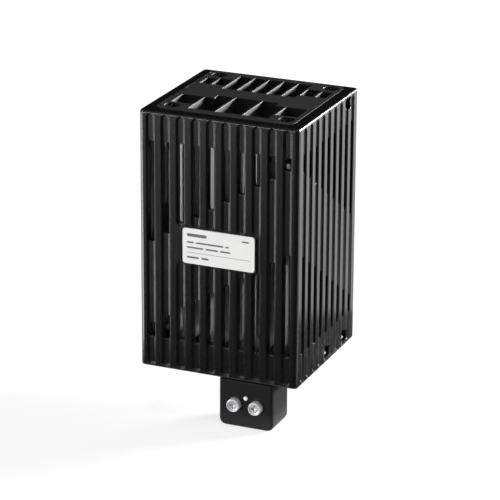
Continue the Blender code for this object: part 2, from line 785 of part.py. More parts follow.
def terminals():
    """Names and x places of the two terminals."""
    return [
        ("left", TERMINAL_X - TERMINAL_PITCH / 2),
        ("right", TERMINAL_X + TERMINAL_PITCH / 2),
    ]


CLAMP_FRONT = FOOT_WALL + SEAT_GAP
CLAMP_MIDDLE_Y = CLAMP_FRONT + CLAMP_DEPTH / 2 + CLAMP_ENTRY_OFFSET
CLAMP_TOP = TERMINAL_Z + CLAMP_HEIGHT / 2
CLAMP_FLOOR = TERMINAL_Z - CLAMP_HEIGHT / 2


def air_slots():
    """Air inlets of the cover in two rows; the front row stops short of the foot."""
    rear_y0 = MIDDLE_Y + AIR_ROW_BRIDGE / 2
    shapes = []
    for i in range(AIR_SLOT_COUNT):
        x = (i - (AIR_SLOT_COUNT - 1) / 2) * AIR_SLOT_PITCH
        x0, x1 = x - AIR_SLOT_WIDTH / 2, x + AIR_SLOT_WIDTH / 2
        shapes.append((x0, x1, rear_y0, DEPTH - AIR_ROW_MARGIN))
        beside_foot = x1 < FOOT_BOUNDS[0] - BLADE or x0 > FOOT_BOUNDS[1] + BLADE
        y0 = AIR_ROW_MARGIN if beside_foot else FOOT_DEPTH + 2 * BLADE
        shapes.append((x0, x1, y0, MIDDLE_Y - AIR_ROW_BRIDGE / 2))
    return shapes


def bottom_cover():
    """Tray that closes the housing from below and carries the foot and the heat sink."""
    bm = bmesh.new()
    rounded_slab(bm, COVER_BOUNDS, 0.0, COVER_HEIGHT, INNER_RADIUS, SEAT_GAP)
    cover = add_mesh("bottom_cover", bm, BLACK_PLASTIC)

    bm = bmesh.new()
    rounded_slab(
        bm, COVER_BOUNDS, COVER_PLATE, COVER_HEIGHT + OVERSHOOT,
        INNER_RADIUS - SEAT_GAP, SEAT_GAP + COVER_SKIRT)
    cut(cover, add_cutter("tray_cutter", bm))

    bm = bmesh.new()
    for _, x in sink_ports():
        cylinder_z(bm, x, MIDDLE_Y, BOSS_RADIUS, COVER_PLATE / 2, SINK_FLOOR - SEAT_GAP, 18)
    join(cover, add_cutter("boss_tool", bm))

    foot = add_cutter("foot_tool", foot_block())
    bm = bmesh.new()
    far = FOOT_HEIGHT
    box(bm, -far + FOOT_X, far + FOOT_X, -WALL, WALL + SEAT_GAP, -SEAT_GAP, far)
    cut(foot, add_cutter("foot_lip_cutter", bm))
    bm = bmesh.new()
    box(bm, -far + FOOT_X, far + FOOT_X, WALL / 2, FOOT_DEPTH + WALL, COVER_PLATE / 2, far)
    cut(foot, add_cutter("foot_top_cutter", bm))
    join(cover, foot)

    bm = bmesh.new()
    for kind, side, y, z, half_y, half_z in latch_places():
        if kind != "lower":
            continue
        root_x = HALF_WIDTH - WALL - SEAT_GAP
        floor = z - half_z + SEAT_GAP
        outline = [
            (side * (root_x - OVERSHOOT), floor),
            (side * (root_x + HOOK_REACH), floor),
            (side * (root_x - OVERSHOOT), floor + HOOK_HEIGHT),
        ]
        loft(bm, [
            along_y(outline, y - half_y + OVERSHOOT),
            along_y(outline, y + half_y - OVERSHOOT),
        ])
    join(cover, add_cutter("cover_hook_tool", bm))

    x0, x1, _, y1 = FOOT_BOUNDS
    bm = bmesh.new()
    box(
        bm, x0 + FOOT_WALL, x1 - FOOT_WALL, FOOT_WALL, y1 - FOOT_WALL,
        FOOT_WALL - FOOT_HEIGHT, -SEAT_GAP / 2)
    cut(cover, add_cutter("foot_cavity_cutter", bm))
    bm = bmesh.new()
    box(
        bm, x0 + FOOT_WALL, x1 - FOOT_WALL, WALL + SEAT_GAP + COVER_SKIRT, y1 - FOOT_WALL,
        -FOOT_WALL, COVER_PLATE + OVERSHOOT)
    cut(cover, add_cutter("foot_mouth_cutter", bm))

    bm = bmesh.new()
    for ax0, ax1, ay0, ay1 in air_slots():
        outline = rounded_outline((ax1 - ax0) / 2, (ay1 - ay0) / 2, BLADE, 1)
        middle = ((ax0 + ax1) / 2, (ay0 + ay1) / 2)
        loft(bm, [
            along_z(outline, -OVERSHOOT, *middle),
            along_z(outline, COVER_PLATE + OVERSHOOT, *middle),
        ])
    cut(cover, add_cutter("air_slot_cutter", bm))

    bm = bmesh.new()
    for _, x in sink_ports():
        cylinder_z(bm, x, MIDDLE_Y, SCREW_HOLE_RADIUS, RECESS_DEPTH / 2, SINK_FLOOR + OVERSHOOT, 12)
    cut(cover, add_cutter("sink_screw_cutter", bm))
    bm = bmesh.new()
    for _, x in sink_ports():
        cylinder_z(bm, x, MIDDLE_Y, RECESS_RADIUS, -OVERSHOOT, RECESS_DEPTH, 18)
    cut(cover, add_cutter("sink_recess_cutter", bm))

    bm = bmesh.new()
    entry = rounded_outline(WIRE_ENTRY / 2, WIRE_ENTRY / 2, WIRE_ENTRY_ROUND, 2)
    for _, x in terminals():
        cylinder_y(
            bm, x, TERMINAL_Z, TERMINAL_HEAD_RADIUS + SEAT_GAP, -OVERSHOOT,
            FOOT_WALL + OVERSHOOT, 24)
        loft(bm, [
            along_z(entry, -FOOT_HEIGHT - OVERSHOOT, x, CLAMP_MIDDLE_Y),
            along_z(entry, -FOOT_HEIGHT + FOOT_WALL + OVERSHOOT, x, CLAMP_MIDDLE_Y),
        ])
    cylinder_y(bm, TERMINAL_X, PIN_Z, PIN_RADIUS + SEAT_GAP, -OVERSHOOT, FOOT_WALL + OVERSHOOT, 14)
    cut(cover, add_cutter("terminal_cutter", bm))
    return cover


def sink_screws():
    """Two screws from under the cover, through its bosses into the heat sink's ports."""
    crown = RECESS_DEPTH - SEAT_GAP - SCREW_HEAD_HEIGHT
    for side, x in sink_ports():
        bm = bmesh.new()
        profile = screw_profile(
            SCREW_HEAD_RADIUS, SCREW_HEAD_HEIGHT, PORT_RADIUS - SEAT_GAP, SINK_SCREW_LENGTH)
        turned(bm, profile, lambda a, b, h: Vector((x + a, MIDDLE_Y + b, crown - h)), SCREW_FACETS)
        add_mesh("sink_screw_" + side, bm, BRIGHT_STEEL, 0.6)


def terminal_parts():
    """Clamp, screw and pin in the foot."""
    for side, x in terminals():
        bm = bmesh.new()
        half = CLAMP_WIDTH / 2
        box(
            bm, x - half, x + half, CLAMP_FRONT, CLAMP_FRONT + CLAMP_DEPTH, CLAMP_FLOOR, CLAMP_TOP)
        clamp = add_mesh("terminal_clamp_" + side, bm, BRASS)
        bm = bmesh.new()
        cylinder_z(
            bm, x, CLAMP_MIDDLE_Y, CLAMP_ENTRY_RADIUS, CLAMP_FLOOR - OVERSHOOT,
            CLAMP_FLOOR + CLAMP_ENTRY_DEPTH, 14)
        cylinder_z(
            bm, x, CLAMP_MIDDLE_Y, LEAD_RADIUS + SEAT_GAP, CLAMP_TOP - CLAMP_LEAD_DEPTH,
            CLAMP_TOP + OVERSHOOT, 12)
        cut(clamp, add_cutter("clamp_entry_cutter_" + side, bm))
        bm = bmesh.new()
        cylinder_y(
            bm, x, TERMINAL_Z, TERMINAL_SHANK_RADIUS + SEAT_GAP, CLAMP_FRONT - OVERSHOOT,
            CLAMP_MIDDLE_Y, 12)
        cut(clamp, add_cutter("clamp_screw_cutter_" + side, bm))

        rim = TERMINAL_HEAD_RADIUS
        face = -TERMINAL_HEAD_PROUD
        seat = face + TERMINAL_HEAD_LENGTH
        tip = CLAMP_MIDDLE_Y - CLAMP_ENTRY_RADIUS
        soft = TERMINAL_RIM * 0.4
        bm = bmesh.new()
        profile = [
            (0.0, face + TERMINAL_DISH),
            (rim - TERMINAL_RIM - soft, face + TERMINAL_DISH),
            (rim - TERMINAL_RIM, face + soft),
            (rim - TERMINAL_RIM + soft, face),
            (rim - soft, face),
            (rim, face + soft),
            (rim, seat),
            (TERMINAL_SHANK_RADIUS, seat),
            (TERMINAL_SHANK_RADIUS, tip),
            (0.0, tip),
        ]
        turned(bm, profile, lambda a, b, h: Vector((x + a, h, TERMINAL_Z + b)), 20)
        screw = add_mesh("terminal_screw_" + side, bm, BRIGHT_STEEL, 0.5)
        bm = bmesh.new()
        reach = rim - TERMINAL_RIM - soft * 2
        box(
            bm, x - reach, x + reach, face - OVERSHOOT, face + TERMINAL_DISH + TERMINAL_SLOT,
            TERMINAL_Z - TERMINAL_SLOT / 2, TERMINAL_Z + TERMINAL_SLOT / 2)
        cut(screw, add_cutter("screw_slot_cutter_" + side, bm))

    bm = bmesh.new()
    profile = [
        (0.0, -PIN_PROUD),
        (PIN_RADIUS * 0.6, -PIN_PROUD * 0.8),
        (PIN_RADIUS, 0.0),
        (PIN_RADIUS, PIN_LENGTH - PIN_PROUD),
        (0.0, PIN_LENGTH - PIN_PROUD),
    ]
    turned(bm, profile, lambda a, b, h: Vector((TERMINAL_X + a, h, PIN_Z + b)), 12)
    add_mesh("indicator_pin", bm, PIN_WHITE, 0.6)


STACK_HALF = STONE_THICKNESS / 2 + 2 * SEAT_GAP + ELECTRODE_THICKNESS + SLEEVE_THICKNESS
SPRING_ROOM = SPRING_WAVE + SPRING_THICKNESS + 2 * SEAT_GAP
CHANNEL_HALF_DEPTH = (2 * STACK_HALF + SPRING_ROOM + SEAT_GAP) / 2
STACK_Y = MIDDLE_Y + CHANNEL_HALF_DEPTH - SEAT_GAP - STACK_HALF
FRAME_HALF_WIDTH = STONE_WIDTH / 2 + SEAT_GAP + FRAME_BORDER
SLEEVE_HALF_WIDTH = FRAME_HALF_WIDTH + SEAT_GAP + SLEEVE_THICKNESS
CHANNEL_HALF_WIDTH = SLEEVE_HALF_WIDTH + SEAT_GAP


def sink_outline():
    """Section of the extrusion: fins front and back on a core that is thicker at the channel."""
    half_fin = FIN_THICKNESS / 2
    core = CHANNEL_HALF_DEPTH + CHANNEL_WALL
    fins = [(i - (FIN_COUNT - 1) / 2) * FIN_PITCH for i in range(FIN_COUNT)]

    def base_between(left, right):
        middle = abs(left + right) / 2
        if middle < CHANNEL_HALF_WIDTH + CHANNEL_WALL:
            return core
        if abs(middle - PORT_BETWEEN_FINS * FIN_PITCH) < FIN_PITCH / 4:
            return PORT_BLOCK / 2
        return SINK_WEB / 2

    half = []
    for number, x in enumerate(fins):
        half.append((x - half_fin, SINK_DEPTH / 2 - FIN_TIP_ROUND))
        half.append((x - half_fin + FIN_TIP_ROUND, SINK_DEPTH / 2))
        half.append((x + half_fin - FIN_TIP_ROUND, SINK_DEPTH / 2))
        half.append((x + half_fin, SINK_DEPTH / 2 - FIN_TIP_ROUND))
        if number < FIN_COUNT - 1:
            level = base_between(x, fins[number + 1])
            half.append((x + half_fin, level))
            half.append((fins[number + 1] - half_fin, level))
    mirrored = [(-x, -y) for x, y in half]
    return half + mirrored


def heat_sink():
    """Extruded profile with a channel for the element stack and two screw ports."""
    bm = bmesh.new()
    outline = sink_outline()
    loft(bm, [
        along_z(outline, SINK_FLOOR, 0.0, MIDDLE_Y),
        along_z(outline, SINK_TOP, 0.0, MIDDLE_Y),
    ])
    sink = add_mesh("heat_sink", bm, ALUMINIUM)
    bm = bmesh.new()
    box(
        bm, -CHANNEL_HALF_WIDTH, CHANNEL_HALF_WIDTH, MIDDLE_Y - CHANNEL_HALF_DEPTH,
        MIDDLE_Y + CHANNEL_HALF_DEPTH, SINK_FLOOR - OVERSHOOT, SINK_TOP + OVERSHOOT)
    for _, x in sink_ports():
        cylinder_z(bm, x, MIDDLE_Y, PORT_RADIUS, SINK_FLOOR - OVERSHOOT, SINK_TOP + OVERSHOOT, 12)
    cut(sink, add_cutter("channel_cutter", bm))


def element_stack():
    """Heating stones in their frame, between two electrodes, inside an insulating sleeve."""
    stones = [
        SINK_MIDDLE_Z + (i - (STONE_COUNT - 1) / 2) * STONE_SPACING for i in range(STONE_COUNT)
    ]
    half = STONE_THICKNESS / 2
    for number, z in enumerate(stones, start=1):
        bm = bmesh.new()
        box(
            bm, -STONE_WIDTH / 2, STONE_WIDTH / 2, STACK_Y - half, STACK_Y + half,
            z - STONE_HEIGHT / 2, z + STONE_HEIGHT / 2)
        add_mesh("ptc_element_%d" % number, bm, CERAMIC)

    bm = bmesh.new()
    frame_half = STONE_HEIGHT / 2 + SEAT_GAP + FRAME_BORDER
    box(
        bm, -FRAME_HALF_WIDTH, FRAME_HALF_WIDTH, STACK_Y - half, STACK_Y + half,
        stones[0] - frame_half, stones[-1] + frame_half)
    frame = add_mesh("element_frame", bm, FRAME_PLASTIC)
    bm = bmesh.new()
    for z in stones:
        box(
            bm, -STONE_WIDTH / 2 - SEAT_GAP, STONE_WIDTH / 2 + SEAT_GAP, STACK_Y - WALL,
            STACK_Y + WALL, z - STONE_HEIGHT / 2 - SEAT_GAP, z + STONE_HEIGHT / 2 + SEAT_GAP)
    cut(frame, add_cutter("frame_window_cutter", bm))

    bottom = stones[0] - STONE_HEIGHT / 2
    top = stones[-1] + STONE_HEIGHT / 2
    for name, side, tab in zip(("front", "rear"), (-1, 1), ELECTRODE_TABS):
        inner = STACK_Y + side * (half + SEAT_GAP)
        outer = inner + side * ELECTRODE_THICKNESS
        y0, y1 = sorted((inner, outer))
        reach = ELECTRODE_WIDTH / 2
        tab_foot = SINK_FLOOR - TAB_DROP
        outline = [
            (-reach, bottom), (tab - TAB_WIDTH / 2, bottom), (tab - TAB_WIDTH / 2, tab_foot),
            (tab + TAB_WIDTH / 2, tab_foot), (tab + TAB_WIDTH / 2, bottom), (reach, bottom),
            (reach, top), (-reach, top),
        ]
        bm = bmesh.new()
        loft(bm, [along_y(outline, y0), along_y(outline, y1)])
        add_mesh("electrode_" + name, bm, BRASS)

    bm = bmesh.new()
    low = SINK_FLOOR - SLEEVE_OVERHANG
    high = SINK_TOP + SLEEVE_OVERHANG
    wall = SLEEVE_THICKNESS
    outside = rounded_outline(SLEEVE_HALF_WIDTH, STACK_HALF, wall, 2)
    loft(bm, [along_z(outside, low, 0.0, STACK_Y), along_z(outside, high, 0.0, STACK_Y)])
    sleeve = add_mesh("insulating_sleeve", bm, FILM)
    bm = bmesh.new()
    inside = rounded_outline(SLEEVE_HALF_WIDTH - wall, STACK_HALF - wall, wall / 4, 2)
    loft(bm, [
        along_z(inside, low - OVERSHOOT, 0.0, STACK_Y),
        along_z(inside, high + OVERSHOOT, 0.0, STACK_Y),
    ])
    cut(sleeve, add_cutter("sleeve_bore_cutter", bm))


def contact_spring():
    """Corrugated leaf in front of the stack, a wave extruded along the channel."""
    middle = STACK_Y - STACK_HALF - SPRING_ROOM / 2
    steps = SPRING_WAVES * 8
    crest = SPRING_WAVE / 2
    rows = []
    for side in (-1, 1):
        row = []
        for step in range(steps + 1):
            share = step / steps
            x = (share - 0.5) * SPRING_WIDTH
            wave = crest * cos(2 * pi * SPRING_WAVES * share)
            row.append((x, middle + wave + side * SPRING_THICKNESS / 2))
        rows.append(row)
    outline = rows[0] + list(reversed(rows[1]))
    bm = bmesh.new()
    loft(bm, [
        along_z(outline, SINK_FLOOR + FRAME_BORDER),
        along_z(outline, SINK_TOP - FRAME_BORDER),
    ])
    add_mesh("contact_spring", bm, BRIGHT_STEEL, 0.6)


def smooth_route(points, spacing):
    """Points along a smooth curve through the given ones."""
    first = points[0] * 2 - points[1]
    last = points[-1] * 2 - points[-2]
    chain = [first] + points + [last]
    route = []
    for before, start, end, after in zip(chain, chain[1:], chain[2:], chain[3:]):
        steps = max(2, ceil((end - start).length / spacing))
        for step in range(steps):
            t = step / steps
            route.append(0.5 * (
                2 * start + (end - before) * t
                + (2 * before - 5 * start + 4 * end - after) * t * t
                + (3 * start - before - 3 * end + after) * t * t * t))
    route.append(points[-1])
    return route


def leads():
    """Two insulated wires from the electrode tabs, over the cover, down into the clamps."""
    tab_gap = STONE_THICKNESS / 2 + SEAT_GAP
    run_z = COVER_PLATE + SEAT_GAP + LEAD_RADIUS
    for (side, x), place, tab_x in zip(terminals(), (-1, 1), ELECTRODE_TABS):
        if place < 0:
            y = STACK_Y - tab_gap - ELECTRODE_THICKNESS - SEAT_GAP - LEAD_RADIUS
        else:
            y = STACK_Y + tab_gap - SEAT_GAP - LEAD_RADIUS
        start = SINK_FLOOR - SLEEVE_OVERHANG - SEAT_GAP
        end_y = CLAMP_MIDDLE_Y
        points = [
            Vector((tab_x, y, start)),
            Vector((tab_x, y - 0.2 * LEAD_BEND, run_z + 0.45 * LEAD_BEND)),
            Vector((tab_x, y - LEAD_BEND, run_z)),
            Vector(((tab_x + x) / 2, (y + end_y + LEAD_BEND) / 2, run_z)),
            Vector((x, end_y + LEAD_BEND, run_z)),
            Vector((x, end_y + 0.3 * LEAD_BEND, run_z - 0.3 * LEAD_BEND)),
            Vector((x, end_y, run_z - LEAD_BEND)),
            Vector((x, end_y, CLAMP_TOP + LEAD_BEND)),
            Vector((x, end_y, CLAMP_TOP - CLAMP_LEAD_DEPTH + SEAT_GAP)),
        ]
        route = smooth_route(points, 3 * LEAD_RADIUS)
        curve = bpy.data.curves.new("lead_" + side, "CURVE")
        curve.dimensions = "3D"
        curve.bevel_depth = LEAD_RADIUS
        curve.bevel_resolution = 2
        curve.use_fill_caps = True
        spline = curve.splines.new("POLY")
        spline.points.add(len(route) - 1)
        for target, point in zip(spline.points, route):
            target.co = (*point, 1.0)
        curve.materials.append(LEAD_RED)
        lead = bpy.data.objects.new("lead_" + side, curve)
        lead.parent = root
        bpy.context.collection.objects.link(lead)


def rating_label():
    """Thin white plate in the front pad's recess."""
    outline = rounded_outline(LABEL_WIDTH / 2, LABEL_HEIGHT / 2, LABEL_ROUND, 4)
    back = LABEL_RECESS - SEAT_GAP
    bm = bmesh.new()
    loft(bm, [
        along_y(outline, back - LABEL_THICKNESS, LABEL_X, LABEL_Z),
        along_y(outline, back, LABEL_X, LABEL_Z),
    ])
    add_mesh("rating_label", bm, LABEL_WHITE)


def arc(centre_u, centre_w, radius, start, end, steps):
    """Points on an arc, in the clip's own section axes."""
    return [
        (
            centre_u + radius * cos(start + (end - start) * i / steps),
            centre_w + radius * sin(start + (end - start) * i / steps),
        )
        for i in range(steps + 1)
    ]


def clip_outline():
    """Section of the clip: fixed hook above, sprung hook below, both open towards the rail.

    u runs backwards from the housing, w is the height above the rail's middle line.
    """
    half_rail = RAIL_WIDTH / 2
    edge = half_rail + CLIP_SLOT_CLEAR
    lip_tip = half_rail - CLIP_LIP_REACH
    slot_floor = CLIP_PLATE - CLIP_RELIEF
    lip_in = CLIP_PLATE + RAIL_FLANGE + CLIP_SLOT_CLEAR
    lip_out = lip_in + CLIP_LIP
    land = lip_tip - CLIP_SLOT_CLEAR
    tail = edge + CLIP_TAIL
    spring = CLIP_PLATE + CLIP_SPRING_SLOT
    turn = lip_out / 2
    slot_turn = CLIP_SPRING_SLOT / 2
    points = [(0.0, edge + CLIP_END)]
    points += [(0.0, -tail)]
    points += arc(turn, -tail, turn, pi, 2 * pi, 8)[1:]
    points += [
        (lip_out, -lip_tip - CLIP_LIP),
        (lip_in + CLIP_LIP / 3, -lip_tip),
        (lip_in, -lip_tip),
        (lip_in, -edge),
        (spring, -edge),
        (spring, -tail),
    ]
    points += arc(CLIP_PLATE + slot_turn, -tail, slot_turn, 0.0, -pi, 6)[1:]
    points += [
        (CLIP_PLATE, -edge - CLIP_LIP),
        (slot_floor, -edge),
        (slot_floor, -land),
        (CLIP_PLATE, -land),
        (CLIP_PLATE, land),
        (slot_floor, land),
        (slot_floor, edge),
        (lip_in, edge),
        (lip_in, lip_tip),
        (lip_in + CLIP_LIP / 3, lip_tip),
        (lip_out, lip_tip + CLIP_LIP),
        (lip_out, edge + CLIP_END - CLIP_LIP / 2),
        (lip_out - CLIP_LIP / 2, edge + CLIP_END),
    ]
    return points


def rail_clip():
    """One-piece clip, its section extruded sideways, with two screws into the housing."""
    bm = bmesh.new()
    outline = clip_outline()
    loft(bm, [
        along_x(outline, -CLIP_WIDTH / 2, CLIP_FACE, RAIL_Z),
        along_x(outline, CLIP_WIDTH / 2, CLIP_FACE, RAIL_Z),
    ])
    clip = add_mesh("rail_clip", bm, CLIP_PLASTIC)
    bm = bmesh.new()
    for z in clip_screw_heights():
        cylinder_y(bm, 0.0, z, SCREW_HOLE_RADIUS, DEPTH, SEAT_Y, 12)
    cut(clip, add_cutter("clip_hole_cutter", bm))
    bm = bmesh.new()
    for z in clip_screw_heights():
        cylinder_y(bm, 0.0, z, RECESS_RADIUS, SEAT_Y - RECESS_DEPTH, SEAT_Y + OVERSHOOT, 18)
    cut(clip, add_cutter("clip_recess_cutter", bm))

    crown = SEAT_Y - RECESS_DEPTH + SEAT_GAP + SCREW_HEAD_HEIGHT
    for name, z in zip(("lower", "upper"), clip_screw_heights()):
        bm = bmesh.new()
        profile = screw_profile(
            SCREW_HEAD_RADIUS, SCREW_HEAD_HEIGHT, SCREW_SHANK_RADIUS, CLIP_SCREW_LENGTH)
        turned(bm, profile, lambda a, b, h: Vector((a, crown + h, z + b)), SCREW_FACETS)
        add_mesh("clip_screw_" + name, bm, BRIGHT_STEEL, 0.6)


housing_shell()
top_grille()
top_screws()
bottom_cover()
sink_screws()
terminal_parts()
heat_sink()
element_stack()
contact_spring()
leads()
rating_label()
rail_clip()
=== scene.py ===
"""Enclosure heater dressed for its portrait: a slotted black housing round a finned heat sink."""

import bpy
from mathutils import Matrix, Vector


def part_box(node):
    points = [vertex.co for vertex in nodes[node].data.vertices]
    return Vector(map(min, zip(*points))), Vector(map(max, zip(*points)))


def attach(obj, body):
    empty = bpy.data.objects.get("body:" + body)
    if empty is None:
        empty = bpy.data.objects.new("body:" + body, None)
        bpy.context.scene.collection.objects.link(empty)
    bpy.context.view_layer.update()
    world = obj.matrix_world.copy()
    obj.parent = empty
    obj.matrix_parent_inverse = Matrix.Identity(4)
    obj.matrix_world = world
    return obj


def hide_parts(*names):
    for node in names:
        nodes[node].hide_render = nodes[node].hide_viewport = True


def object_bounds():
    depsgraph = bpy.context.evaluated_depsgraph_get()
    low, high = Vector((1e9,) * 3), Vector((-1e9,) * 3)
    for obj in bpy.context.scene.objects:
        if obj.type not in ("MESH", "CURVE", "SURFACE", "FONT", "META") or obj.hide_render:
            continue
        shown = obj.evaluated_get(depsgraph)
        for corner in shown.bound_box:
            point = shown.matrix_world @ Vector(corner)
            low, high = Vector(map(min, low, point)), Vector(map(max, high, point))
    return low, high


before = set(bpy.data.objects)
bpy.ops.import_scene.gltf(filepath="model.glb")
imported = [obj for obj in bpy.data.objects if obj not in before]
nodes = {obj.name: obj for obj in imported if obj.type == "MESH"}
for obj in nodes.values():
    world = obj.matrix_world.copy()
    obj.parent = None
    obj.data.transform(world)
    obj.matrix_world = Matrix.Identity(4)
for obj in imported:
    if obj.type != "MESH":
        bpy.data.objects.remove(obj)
solid_box = [list(corner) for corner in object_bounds()]

from math import cos, pi, radians, sin

import bpy
import numpy as np
from mathutils import Matrix, Vector

# The room: a white sweep that the heater stands on, a low softbox at the right behind it that
# rakes over the ribs, weak ones at the left, in front and above, and cards that only reflections
# show: among them a glowing one that paints a highlight on the ribs' left edges, and black ones
# by the foot that paint the shade under the housing. The camera looks from a little right of
# the front and from above, through a long lens.
FLOOR_GAP = 0.0002
FLOOR_REACH = 4.0
FLOOR_KEEPS_SHADOW = 0.22
SKY_LEVEL = 0.25
WHITE = "#FFFFFF"
FLOOR_PAINT = "#FBFBFB"


def linear(colour):
    """Turn an sRGB hex colour into linear red, green, blue and an alpha of one."""
    parts = [int(colour[i:i + 2], 16) / 255 for i in (1, 3, 5)]
    return [c / 12.92 if c <= 0.04045 else ((c + 0.055) / 1.055) ** 2.4 for c in parts] + [1.0]


def add_node(tree, kind, settings, inputs):
    """Add one shader node; an input given as a socket is linked, any other is set."""
    made = tree.nodes.new("ShaderNode" + kind)
    for name, value in settings.items():
        setattr(made, name, value)
    for key, value in inputs.items():
        if isinstance(value, bpy.types.NodeSocket):
            tree.links.new(value, made.inputs[key])
        else:
            made.inputs[key].default_value = value
    return made


def bare_material(name):
    """A material with nothing in it but its output node."""
    material = bpy.data.materials.new(name)
    material.use_nodes = True
    material.node_tree.nodes.clear()
    return material, material.node_tree


def mesh_piece(name, points, faces, material, smooth=True):
    """Put an array of points and a list of faces into a piece at the origin."""
    mesh = bpy.data.meshes.new(name)
    mesh.from_pydata(np.asarray(points, float).reshape(-1, 3).tolist(), [], faces)
    mesh.polygons.foreach_set("use_smooth", [smooth] * len(mesh.polygons))
    mesh.materials.append(material)
    mesh.update()
    piece = bpy.data.objects.new(name, mesh)
    bpy.context.scene.collection.objects.link(piece)
    return piece


def seen_share(tree):
    """One for rays that show the background: straight, mirrored or through something clear."""
    path = add_node(tree, "LightPath", {}, {})
    pair = add_node(tree, "Math", {"operation": "ADD", "use_clamp": True}, {
        0: path.outputs["Is Camera Ray"], 1: path.outputs["Is Glossy Ray"]})
    both = add_node(tree, "Math", {"operation": "ADD", "use_clamp": True}, {
        0: pair.outputs[0], 1: path.outputs["Is Transmission Ray"]})
    return both.outputs[0]


floor_material, tree = bare_material("white_sweep_paint")
seen = seen_share(tree)
glow_share = add_node(tree, "Math", {"operation": "MULTIPLY"}, {
    0: seen, 1: 1 - FLOOR_KEEPS_SHADOW})
paint = add_node(tree, "BsdfDiffuse", {}, {"Color": linear(FLOOR_PAINT)})
glow = add_node(tree, "Emission", {}, {"Color": linear(WHITE), "Strength": 1.0})
blend = add_node(tree, "MixShader", {}, {
    0: glow_share.outputs[0], 1: paint.outputs[0], 2: glow.outputs[0]})
add_node(tree, "OutputMaterial", {}, {"Surface": blend.outputs[0]})

floor_z = solid_box[0][2] - FLOOR_GAP
across, along = np.meshgrid([-FLOOR_REACH, FLOOR_REACH], [-FLOOR_REACH, FLOOR_REACH])
floor_points = np.stack([across, along, np.full_like(across, floor_z)], axis=-1)
mesh_piece("floor", floor_points, [(0, 1, 3, 2)], floor_material)

world = bpy.data.worlds.new("white_room")
bpy.context.scene.world = world
world.use_nodes = True
tree = world.node_tree
tree.nodes.clear()
seen = seen_share(tree)
level = add_node(tree, "MapRange", {}, {"Value": seen, "To Min": SKY_LEVEL, "To Max": 1.0})
sky = add_node(tree, "Background", {}, {"Color": linear(WHITE), "Strength": level.outputs[0]})
add_node(tree, "OutputWorld", {}, {"Surface": sky.outputs[0]})


def softbox(name, place, aim, width, height, watts):
    """A rectangular lamp at a place, turned to face its aim."""
    lamp = bpy.data.lights.new(name, "AREA")
    lamp.shape = "RECTANGLE"
    lamp.size, lamp.size_y, lamp.energy = width, height, watts
    holder = bpy.data.objects.new(name, lamp)
    holder.location = place
    holder.rotation_euler = (Vector(aim) - Vector(place)).to_track_quat("-Z", "Y").to_euler()
    bpy.context.scene.collection.objects.link(holder)


softbox("raking_softbox", (0.78, 0.74, 0.20), (0.0, -0.04, 0.04), 0.38, 0.15, 50.0)
softbox("left_strip", (-0.95, -0.44, 0.04), (0.0, -0.05, 0.02), 0.20, 0.16, 4.0)
softbox("front_strip", (-0.45, -1.05, 0.0), (0.0, -0.05, 0.0), 0.36, 0.14, 3.9)
softbox("upper_left_softbox", (-0.70, -0.40, 0.75), (0.0, -0.04, -0.05), 0.50, 0.50, 1.6)
softbox("overhead_softbox", (0.02, -0.10, 1.20), (0.02, -0.06, 0.0), 0.40, 0.40, 5.5)


def flag(name, shade, corners, glow=1.0):
    """Flat cards of one shade and glow that only show in reflections, four corners to a card."""
    material, tree = bare_material(name)
    add_node(tree, "OutputMaterial", {}, {"Surface": add_node(
        tree, "Emission", {}, {"Color": linear(shade), "Strength": glow}).outputs[0]})
    quads = [tuple(range(i, i + 4)) for i in range(0, len(corners), 4)]
    card = mesh_piece(name, corners, quads, material)
    card.visible_camera = card.visible_diffuse = card.visible_transmission = False
    card.visible_shadow = False


CARD_LIFT = 0.001
LOW = floor_z + CARD_LIFT
EDGE_CARD_HEIGHT = LOW + CARD_LIFT
EDGE_CARD_GLOW = 10.0
SIDE, FAR_SIDE, BEHIND = 1.2, 1.8, 1.1
CARD_TOP, CEILING = 0.8, 1.6
CARD_EDGE = -0.085
REFLECTED_BLACK = "#050505"
flag("right_front_flag", "#303030", [
    (0.0, -SIDE, LOW), (SIDE, -SIDE, LOW), (SIDE, CARD_EDGE, LOW), (0.0, CARD_EDGE, LOW),
    (0.0, -SIDE, LOW), (SIDE, -SIDE, LOW), (SIDE, -SIDE, CARD_TOP), (0.0, -SIDE, CARD_TOP),
    (SIDE, -SIDE, LOW), (SIDE, 0.1, LOW), (SIDE, 0.1, CARD_TOP), (SIDE, -SIDE, CARD_TOP)])
flag("left_front_flag", "#484848", [
    (-SIDE, -SIDE, LOW), (0.0, -SIDE, LOW), (0.0, CARD_EDGE, LOW), (-SIDE, CARD_EDGE, LOW),
    (-SIDE, -SIDE, LOW), (0.0, -SIDE, LOW),
    (0.0, -SIDE, CARD_TOP), (-SIDE, -SIDE, CARD_TOP)])
flag("rear_left_flag", REFLECTED_BLACK, [
    (-FAR_SIDE, BEHIND, LOW), (0.45, BEHIND, LOW),
    (0.45, BEHIND, CEILING), (-FAR_SIDE, BEHIND, CEILING)])
flag("ceiling_flag", REFLECTED_BLACK, [
    (-1.6, -SIDE, CEILING), (1.6, -SIDE, CEILING), (1.6, 1.6, CEILING), (-1.6, 1.6, CEILING)])
flag("left_rear_flag", REFLECTED_BLACK, [
    (-FAR_SIDE, -0.1, 0.15), (-FAR_SIDE, BEHIND, 0.15),
    (-FAR_SIDE, BEHIND, CEILING), (-FAR_SIDE, -0.1, CEILING)])
# A glowing card that only reflections show: a painted highlight along the ribs' left edges, which
# lights nothing.
flag("edge_highlight_card", WHITE, [
    (-0.10, -0.105, EDGE_CARD_HEIGHT), (-0.10, -0.16, EDGE_CARD_HEIGHT),
    (-0.40, -0.46, EDGE_CARD_HEIGHT), (-0.55, -0.25, EDGE_CARD_HEIGHT)], glow=EDGE_CARD_GLOW)
